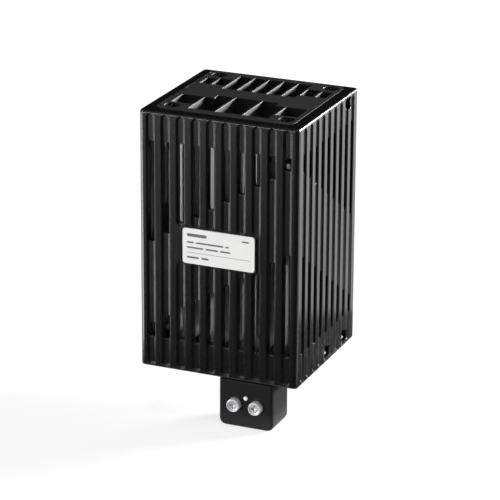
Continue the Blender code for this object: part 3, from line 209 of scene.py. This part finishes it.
# Two black cards beside the foot that only reflections show: painted shade, standing in for the
# floor's shadow under the housing where the foot's sides reflect it.
flag("foot_floor_painted_shade", REFLECTED_BLACK, [
    (0.032, -0.072, LOW), (0.085, -0.072, LOW), (0.085, 0.020, LOW), (0.032, 0.020, LOW)])
flag("foot_side_painted_shade", REFLECTED_BLACK, [
    (0.085, 0.000, LOW), (0.050, 0.035, LOW), (0.050, 0.035, -0.062), (0.085, 0.000, -0.062)])

CAMERA_AZIMUTH = radians(22.93)
CAMERA_HEIGHT = radians(19.77)
CAMERA_ROLL = radians(0.34)
CAMERA_PLACE = (0.45526, -1.11431, 0.40831)
CAMERA_LENS = 197.2
SENSOR_WIDTH = 36.0
towards = Vector((
    sin(CAMERA_AZIMUTH) * cos(CAMERA_HEIGHT),
    -cos(CAMERA_AZIMUTH) * cos(CAMERA_HEIGHT),
    sin(CAMERA_HEIGHT)))
right = Vector((cos(CAMERA_AZIMUTH), sin(CAMERA_AZIMUTH), 0.0))
upward = towards.cross(right)
tilted_right = right * cos(CAMERA_ROLL) + upward * sin(CAMERA_ROLL)
tilted_up = upward * cos(CAMERA_ROLL) - right * sin(CAMERA_ROLL)
eye = bpy.data.cameras.new("portrait_camera")
eye.lens = CAMERA_LENS
eye.sensor_width = SENSOR_WIDTH
camera = bpy.data.objects.new("portrait_camera", eye)
camera.matrix_world = Matrix.Translation(CAMERA_PLACE) @ Matrix(
    (tilted_right, tilted_up, towards)).transposed().to_4x4()
bpy.context.scene.collection.objects.link(camera)
bpy.context.scene.camera = camera
bpy.context.scene.view_settings.view_transform = "Standard"


# Housing, top grille and bottom cover: glass-filled polyamide, injection moulded in eroded
# steel tools. That leaves a satin black skin with a fine even grain and soft cloudy patches,
# and every edge is a little rounded, so that it catches a thin line of light.
MILLIMETRE = 0.001
EDGE_SOFTNESS = 0.00042
EDGE_SAMPLES = 6
CLOUD_SIZE = 14 * MILLIMETRE
GRAIN_STRENGTH = 0.35
NOISE_LOW, NOISE_HIGH = 0.3, 0.7
GLOSS_SWING = 0.06
PLASTIC_IOR = 1.5


def eroded_plastic(name, dark, pale, roughness, shine, grain_size, grain_depth):
    """Moulded plastic: cloudy tone, grain in gloss and relief, and softened edges."""
    material, tree = bare_material(name)
    place = add_node(tree, "TexCoord", {}, {}).outputs["Object"]
    cloud = add_node(tree, "TexNoise", {}, {
        "Vector": place, "Scale": 1 / CLOUD_SIZE, "Detail": 3.0, "Roughness": 0.6})
    grain = add_node(tree, "TexNoise", {}, {
        "Vector": place, "Scale": 1 / grain_size, "Detail": 2.0, "Roughness": 0.55})
    tone = add_node(tree, "Mix", {"data_type": "RGBA"}, {
        0: cloud.outputs[0], 6: linear(dark), 7: linear(pale)})
    gloss = add_node(tree, "MapRange", {}, {
        "Value": grain.outputs[0], "From Min": NOISE_LOW, "From Max": NOISE_HIGH,
        "To Min": roughness - GLOSS_SWING, "To Max": roughness + GLOSS_SWING})
    edges = add_node(tree, "Bevel", {"samples": EDGE_SAMPLES}, {"Radius": EDGE_SOFTNESS})
    relief = add_node(tree, "Bump", {}, {
        "Height": grain.outputs[0], "Strength": GRAIN_STRENGTH, "Distance": grain_depth,
        "Normal": edges.outputs[0]})
    skin = add_node(tree, "BsdfPrincipled", {}, {
        "Base Color": tone.outputs[2], "Roughness": gloss.outputs[0], "IOR": PLASTIC_IOR,
        "Specular IOR Level": shine, "Normal": relief.outputs[0]})
    add_node(tree, "OutputMaterial", {}, {"Surface": skin.outputs[0]})
    return material


black_polyamide = eroded_plastic(
    "moulded_black_polyamide", "#0B0B0C", "#0F0F10", 0.23, 0.46,
    0.32 * MILLIMETRE, 0.02 * MILLIMETRE)
# The foot's copy is rougher and reflects less than the housing's, so the foot reads darker: painted
# shade for its place under the housing.
foot_polyamide = eroded_plastic(
    "dim_black_polyamide_painted_shade", "#0D0D0E", "#101011", 0.40, 0.28,
    0.30 * MILLIMETRE, 0.03 * MILLIMETRE)
# The grille's copy is rougher and reflects more than the housing's, so the blade walls that the
# raking softbox lights read brighter.
grille_polyamide = eroded_plastic(
    "more_reflective_black_polyamide_grille", "#0E0E0F", "#121213", 0.50, 0.65,
    0.30 * MILLIMETRE, 0.03 * MILLIMETRE)
nodes["housing_shell"].material_slots[0].material = black_polyamide
nodes["top_grille"].material_slots[0].material = grille_polyamide
nodes["bottom_cover"].material_slots[0].material = foot_polyamide


# Heat sink: one length of extruded aluminium alloy, sawn square at both ends and left bare.
# The die draws fine lines along its length, which spread the reflections sideways.
DIE_LINE_SIZE = 0.35 * MILLIMETRE
DIE_LINE_DEPTH = 0.02 * MILLIMETRE
DIE_LINE_SQUEEZE = 0.03
OXIDE_SIZE = 9 * MILLIMETRE
FLECK_STRENGTH = 0.3
extrusion, tree = bare_material("extruded_aluminium")
place = add_node(tree, "TexCoord", {}, {}).outputs["Object"]
stretched = add_node(tree, "Mapping", {}, {
    "Vector": place, "Scale": (1.0, 1.0, DIE_LINE_SQUEEZE)})
die_lines = add_node(tree, "TexNoise", {}, {
    "Vector": stretched.outputs[0], "Scale": 1 / DIE_LINE_SIZE, "Detail": 2.0})
oxide = add_node(tree, "TexNoise", {}, {
    "Vector": place, "Scale": 1 / OXIDE_SIZE, "Detail": 3.0})
tone = add_node(tree, "Mix", {"data_type": "RGBA"}, {
    0: oxide.outputs[0], 6: linear("#E4E1DF"), 7: linear("#EFECEA")})
gloss = add_node(tree, "MapRange", {}, {
    "Value": die_lines.outputs[0], "From Min": NOISE_LOW, "From Max": NOISE_HIGH,
    "To Min": 0.36, "To Max": 0.46})
relief = add_node(tree, "Bump", {}, {
    "Height": die_lines.outputs[0], "Strength": FLECK_STRENGTH, "Distance": DIE_LINE_DEPTH})
skin = add_node(tree, "BsdfPrincipled", {}, {
    "Base Color": tone.outputs[2], "Metallic": 1.0, "Roughness": gloss.outputs[0],
    "Normal": relief.outputs[0]})
add_node(tree, "OutputMaterial", {}, {"Surface": skin.outputs[0]})
nodes["heat_sink"].material_slots[0].material = extrusion


# Heating stones: four barium titanate tiles, pressed and fired, with a thin silver coat on
# each broad face. The coat is matt and slightly yellow, and the fired body is dark grey.
FLECK_SWING = 0.05


def dull_solid(name, dark, pale, roughness, metallic, fleck_size, relief_depth):
    """A plain solid stuff: flecked tone, flecked gloss and a shallow relief of the same flecks."""
    material, tree = bare_material(name)
    place = add_node(tree, "TexCoord", {}, {}).outputs["Object"]
    flecks = add_node(tree, "TexNoise", {}, {
        "Vector": place, "Scale": 1 / fleck_size, "Detail": 4.0, "Roughness": 0.6})
    tone = add_node(tree, "Mix", {"data_type": "RGBA"}, {
        0: flecks.outputs[0], 6: linear(dark), 7: linear(pale)})
    gloss = add_node(tree, "MapRange", {}, {
        "Value": flecks.outputs[0], "From Min": NOISE_LOW, "From Max": NOISE_HIGH,
        "To Min": roughness - FLECK_SWING, "To Max": roughness + FLECK_SWING})
    relief = add_node(tree, "Bump", {}, {
        "Height": flecks.outputs[0], "Strength": FLECK_STRENGTH, "Distance": relief_depth})
    skin = add_node(tree, "BsdfPrincipled", {}, {
        "Base Color": tone.outputs[2], "Metallic": metallic, "Roughness": gloss.outputs[0],
        "Normal": relief.outputs[0]})
    add_node(tree, "OutputMaterial", {}, {"Surface": skin.outputs[0]})
    return material


fired_ceramic = dull_solid(
    "fired_barium_titanate", "#8C8983", "#A5A29A", 0.60, 0.0, 0.8 * MILLIMETRE, 0.03 * MILLIMETRE)
for number in range(1, 5):
    nodes["ptc_element_%d" % number].material_slots[0].material = fired_ceramic


# Element frame: unfilled liquid crystal polymer, moulded in its natural cream colour.
# The insulating sleeve round the stack is wound from amber polyimide film.
cream_polymer = dull_solid(
    "natural_liquid_crystal_polymer", "#D8CFB6", "#E3DCC6", 0.52, 0.0, 2.2 * MILLIMETRE,
    0.02 * MILLIMETRE)
nodes["element_frame"].material_slots[0].material = cream_polymer
amber_film = dull_solid(
    "amber_polyimide_film", "#A85F14", "#B96D1C", 0.28, 0.0, 5 * MILLIMETRE, 0.02 * MILLIMETRE)
nodes["insulating_sleeve"].material_slots[0].material = amber_film


# Electrodes and wire clamps: brass, blanked from sheet or sawn from bar and tumbled, which
# leaves soft scratches. The contact spring is a corrugated leaf of stainless spring steel.
tumbled_brass = dull_solid(
    "tumbled_brass", "#C79E4E", "#D8B064", 0.34, 1.0, 0.9 * MILLIMETRE, 0.015 * MILLIMETRE)
for name in ("electrode_front", "electrode_rear", "terminal_clamp_left", "terminal_clamp_right"):
    nodes[name].material_slots[0].material = tumbled_brass
spring_steel = dull_solid(
    "rolled_spring_steel", "#A9A8A4", "#BDBCB8", 0.30, 1.0, 1.2 * MILLIMETRE, 0.01 * MILLIMETRE)
nodes["contact_spring"].material_slots[0].material = spring_steel


# Leads: stranded wire in brick red silicone rubber, from the electrode tabs to the clamps.
# The rubber is matt and faintly mottled.
silicone = dull_solid(
    "red_silicone_rubber", "#8E2D22", "#A0382B", 0.58, 0.0, 1.5 * MILLIMETRE, 0.02 * MILLIMETRE)
for name in ("lead_left", "lead_right"):
    nodes[name].material_slots[0].material = silicone


# Indicator pin: the rounded end of a clear acrylic light guide. It looks milky and a little
# glossy where it comes through the foot between the two terminal screws.
milky_acrylic = dull_solid(
    "milky_acrylic", "#E6E6E2", "#F2F2EF", 0.24, 0.0, 0.6 * MILLIMETRE, 0.01 * MILLIMETRE)
nodes["indicator_pin"].material_slots[0].material = milky_acrylic


# Rail clip: moulded in grey glass-filled polyamide, a shade lighter than the housing, and
# fixed to the flat pad on the back by two screws.
grey_polyamide = eroded_plastic(
    "moulded_grey_polyamide", "#3F4143", "#484A4C", 0.52, 0.3, 0.35 * MILLIMETRE, 0.05 * MILLIMETRE)
nodes["rail_clip"].material_slots[0].material = grey_polyamide


# Screws: all have a cross recess. The head is turned or cold headed and the thread rolled.
# Those in the foot are dull zinc plated and dished, the grille's are black, the rest nickel.
RECESS_ARM = 0.17
RECESS_SIDE = 0.05
RECESS_TAPER = 0.45
ARM_LINE = 0.6
AFTER_ARM, BEFORE_REACH, AFTER_REACH = 0.09, 0.08, 0.1
RIM_LINES = (0.9, 0.95, 1.0)
THREAD_ROWS = 8
TIP_SHARE, POINT_SHARE, POINT_LENGTH = 0.75, 0.3, 0.4
SHARP_ANGLE = radians(38)


def turned_steel(name, dark, pale, roughness):
    """Plated steel with the fine round tool marks of its head, drawn as flecks of gloss."""
    return dull_solid(name, dark, pale, roughness, 1.0, 0.25 * MILLIMETRE, 0.012 * MILLIMETRE)


def head_grid(reach):
    """Grid lines from -1 to 1, doubled at the sides of the recess arms so that they are steep."""
    inner = [0.0, RECESS_ARM * ARM_LINE, RECESS_ARM, RECESS_ARM + RECESS_SIDE]
    middle = np.linspace(
        RECESS_ARM + RECESS_SIDE + AFTER_ARM, reach - RECESS_SIDE - BEFORE_REACH, 3)
    ends = np.linspace(reach - RECESS_SIDE, reach, 2)
    outer = np.linspace(reach + AFTER_REACH, RIM_LINES[0], 3)
    half = sorted([*inner, *middle, *ends, *outer, *RIM_LINES[1:]])
    return np.array([-v for v in reversed(half[1:])] + half)


def screw_piece(name, node, crown, axis, head_radius, crown_line, recess_depth, reach, rings,
                thread, material):
    """Screw on an axis: the head's top is a square grid pressed into a disc, where a point's
    height is the crown line at its distance from the middle, less the depth of a cross; below
    it rings of (radius, depth) follow, then a thread whose radius swings with depth and angle.
    """
    line = head_grid(reach)
    u, v = np.meshgrid(line, line)
    x, y = u * np.sqrt(1 - v * v / 2), v * np.sqrt(1 - u * u / 2)
    away = np.clip(np.hypot(x, y), 0, 1)
    height = np.interp(away, *zip(*crown_line))
    arm = np.minimum(np.abs(u), np.abs(v))
    far = np.maximum(np.abs(u), np.abs(v))
    in_arm = np.clip((RECESS_ARM + RECESS_SIDE - arm) / RECESS_SIDE, 0, 1)
    in_reach = np.clip((reach - far) / RECESS_SIDE, 0, 1)
    height = height - recess_depth * in_arm * in_reach * (1 - RECESS_TAPER * far / reach)
    top = np.stack([x * head_radius, y * head_radius, height], axis=-1).reshape(-1, 3)
    n = len(line)
    index = np.arange(n * n).reshape(n, n)
    faces = np.stack(
        [index[:-1, :-1], index[:-1, 1:], index[1:, 1:], index[1:, :-1]], axis=-1).reshape(-1, 4)
    border = np.concatenate([index[0, :-1], index[:-1, -1], index[-1, :0:-1], index[:0:-1, 0]])
    angle = np.arctan2(top[border, 1], top[border, 0])
    radius, depth, pitch, swing, tip = thread
    rows = [(r, d, 0.0) for r, d in rings]
    turns = np.arange(depth, tip, pitch / THREAD_ROWS)
    rows += [(radius, d, swing) for d in turns]
    point = tip + radius * POINT_LENGTH
    rows += [(radius * TIP_SHARE, tip, 0.0), (radius * POINT_SHARE, point, 0.0)]
    r, d, s = (np.array(column)[:, None] for column in zip(*rows))
    wave = np.abs(((d / pitch - angle[None, :] / (2 * pi)) % 1.0) * 2 - 1) - 0.5
    spread = r + s * wave
    shank = np.stack([
        spread * np.cos(angle), spread * np.sin(angle), -d + 0 * spread], axis=-1).reshape(-1, 3)
    start = len(top)
    loops = np.concatenate([border[None, :], start + np.arange(len(shank)).reshape(len(rows), -1)])
    nexts = np.roll(loops, -1, axis=1)
    sides = np.stack([loops[:-1], loops[1:], nexts[1:], nexts[:-1]], axis=-1).reshape(-1, 4)
    points = np.concatenate([top, shank, [[0.0, 0.0, -point]]])
    fan = np.stack([nexts[-1], loops[-1], np.full(len(border), len(points) - 1)], axis=-1)
    faces = faces.tolist() + sides.tolist() + fan.tolist()
    turn = Vector((0, 0, 1)).rotation_difference(Vector(axis)).to_matrix()
    points = points @ np.array(turn).T + np.array(crown)
    piece = mesh_piece(name, points, faces, material)
    piece.data.set_sharp_from_angle(angle=SHARP_ANGLE)
    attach(piece, "root")
    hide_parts(node)


dull_zinc = dull_solid(
    "dull_zinc_plate", "#C6C6C8", "#DADADC", 0.40, 0.6, 0.25 * MILLIMETRE, 0.02 * MILLIMETRE)
nickel_plate = turned_steel("nickel_plated_steel", "#C9C8C4", "#DDDCD8", 0.24)
black_oxide = turned_steel("black_oxide_steel", "#2B2B2D", "#3A3A3C", 0.30)
PAN_CROWN = [(0.0, 0.0), (0.45, -0.00006), (0.75, -0.00022), (0.90, -0.00044), (1.0, -0.00084)]
PAN_RADIUS, PAN_HEIGHT, PAN_CHAMFER = 0.0031, 0.0014, 0.0001
PAN_RECESS, PAN_REACH = 0.0011, 0.62
PAN_THREAD, SINK_THREAD = 0.0013, 0.0012
PAN_PITCH, PAN_SWING = 0.0009, 0.00035
PAN_THREAD_START, PAN_TIP_GAP = 0.0004, 0.0006


def pan_screw(name, crown, axis, length, thread_radius, material):
    """Pan head screw with its crown at a point; the head and the thread stay in the solid's."""
    core = thread_radius - PAN_SWING / 2
    rings = [
        (PAN_RADIUS, PAN_HEIGHT - PAN_CHAMFER), (PAN_RADIUS - PAN_CHAMFER, PAN_HEIGHT),
        (core, PAN_HEIGHT)]
    thread = (
        core, PAN_HEIGHT + PAN_THREAD_START, PAN_PITCH, PAN_SWING, length - PAN_TIP_GAP)
    screw_piece(name + "_turned", name, crown, axis, PAN_RADIUS, PAN_CROWN, PAN_RECESS,
                PAN_REACH, rings, thread, material)


for corner in ("front_left", "front_right", "rear_left", "rear_right"):
    low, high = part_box("top_screw_" + corner)
    crown = ((low.x + high.x) / 2, (low.y + high.y) / 2, high.z)
    pan_screw("top_screw_" + corner, crown, (0, 0, 1), high.z - low.z, PAN_THREAD, black_oxide)
for side in ("left", "right"):
    low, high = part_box("sink_screw_" + side)
    crown = ((low.x + high.x) / 2, (low.y + high.y) / 2, low.z)
    pan_screw("sink_screw_" + side, crown, (0, 0, -1), high.z - low.z, SINK_THREAD, nickel_plate)
for level in ("upper", "lower"):
    low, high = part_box("clip_screw_" + level)
    crown = ((low.x + high.x) / 2, high.y, (low.z + high.z) / 2)
    pan_screw("clip_screw_" + level, crown, (0, 1, 0), high.y - low.y, PAN_THREAD, nickel_plate)

DISHED_CROWN = [
    (0.0, -0.00052), (0.66, -0.00048), (0.74, -0.00034), (0.80, -0.00008), (0.86, 0.0),
    (0.93, -0.00003), (0.98, -0.00014), (1.0, -0.00030)]
DISHED_RECESS, DISHED_REACH = 0.0013, 0.56
DISHED_EDGE, DISHED_HEIGHT, DISHED_CHAMFER = 0.0042, 0.0044, 0.0002
CLAMP_CORE, CLAMP_THREAD_START = 0.00132, 0.0047
CLAMP_PITCH, CLAMP_SWING, CLAMP_TIP_GAP = 0.0007, 0.0003, 0.0008
for side in ("left", "right"):
    low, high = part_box("terminal_screw_" + side)
    radius = (high.x - low.x) / 2
    crown = ((low.x + high.x) / 2, low.y, (low.z + high.z) / 2)
    rings = [
        (radius, DISHED_EDGE), (radius - DISHED_CHAMFER, DISHED_HEIGHT),
        (CLAMP_CORE, DISHED_HEIGHT)]
    thread = (
        CLAMP_CORE, CLAMP_THREAD_START, CLAMP_PITCH, CLAMP_SWING,
        high.y - low.y - CLAMP_TIP_GAP)
    screw_piece("terminal_screw_%s_turned" % side, "terminal_screw_" + side, crown, (0, -1, 0),
                radius, DISHED_CROWN, DISHED_RECESS, DISHED_REACH, rings, thread, dull_zinc)


# Rating label: white satin polyester film in a shallow pocket of the front pad, printed in
# grey. The print is a generic set of plain bars; each row of BARS gives a bar's left and
# right ends, its height over the label's middle and its thickness, in millimetres.
satin_film = dull_solid(
    "satin_polyester_film", "#D2D2D1", "#D9D9D8", 0.38, 0.0, 6 * MILLIMETRE, 0.006 * MILLIMETRE)
nodes["rating_label"].material_slots[0].material = satin_film
grey_ink = dull_solid(
    "grey_printing_ink", "#4A4C4F", "#5A5C5F", 0.45, 0.0, 0.5 * MILLIMETRE, 0.004 * MILLIMETRE)
INK = 0.00003
BAR_ENDS = 8
BARS = [
    (-15.2, -5.6, 5.2, 1.5), (11.2, 14.6, 5.4, 0.7),
    (-15.2, -11.8, 1.8, 0.75), (-10.8, 2.4, 1.8, 0.75), (3.4, 5.0, 1.8, 0.75),
    (-15.2, -7.2, -0.6, 0.75), (-6.2, -0.2, -0.6, 0.75), (0.8, 5.8, -0.6, 0.75),
    (-15.2, 15.2, -3.0, 0.18), (-15.2, -9.4, -5.2, 0.9), (-8.2, -4.6, -5.2, 0.9)]


def ink_bars(name, bars, middle, face_y):
    """Raised bars: each outline runs round two half circles that are pulled apart along x."""
    x0, x1, z, height = np.array(bars).T[:, :, None]
    turn = np.linspace(-pi / 2, pi / 2, BAR_ENDS)
    half = height / 2 * MILLIMETRE
    bulge, rise = half * np.cos(turn), half * np.sin(turn)
    x = middle[0] + np.concatenate(
        [x1 * MILLIMETRE - half + bulge, x0 * MILLIMETRE + half - bulge], axis=1)
    up = middle[1] + z * MILLIMETRE + np.concatenate([rise, -rise], axis=1)
    points = np.stack([
        np.stack([x, np.full_like(x, face_y - depth), up], axis=-1) for depth in (0.0, INK)], axis=1)
    count = x.shape[1]
    back = np.arange(len(bars))[:, None] * 2 * count + np.arange(count)
    after = np.roll(back, -1, axis=1)
    sides = np.stack([back, after, after + count, back + count], axis=-1)
    faces = []
    for outline, walls in zip(back, sides):
        faces += [(outline + count).tolist(), outline[::-1].tolist(), *walls.tolist()]
    return mesh_piece(name, points, faces, grey_ink, smooth=False)


low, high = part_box("rating_label")
print_piece = ink_bars("label_print", BARS, ((low.x + high.x) / 2, (low.z + high.z) / 2), low.y)
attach(print_piece, "root")
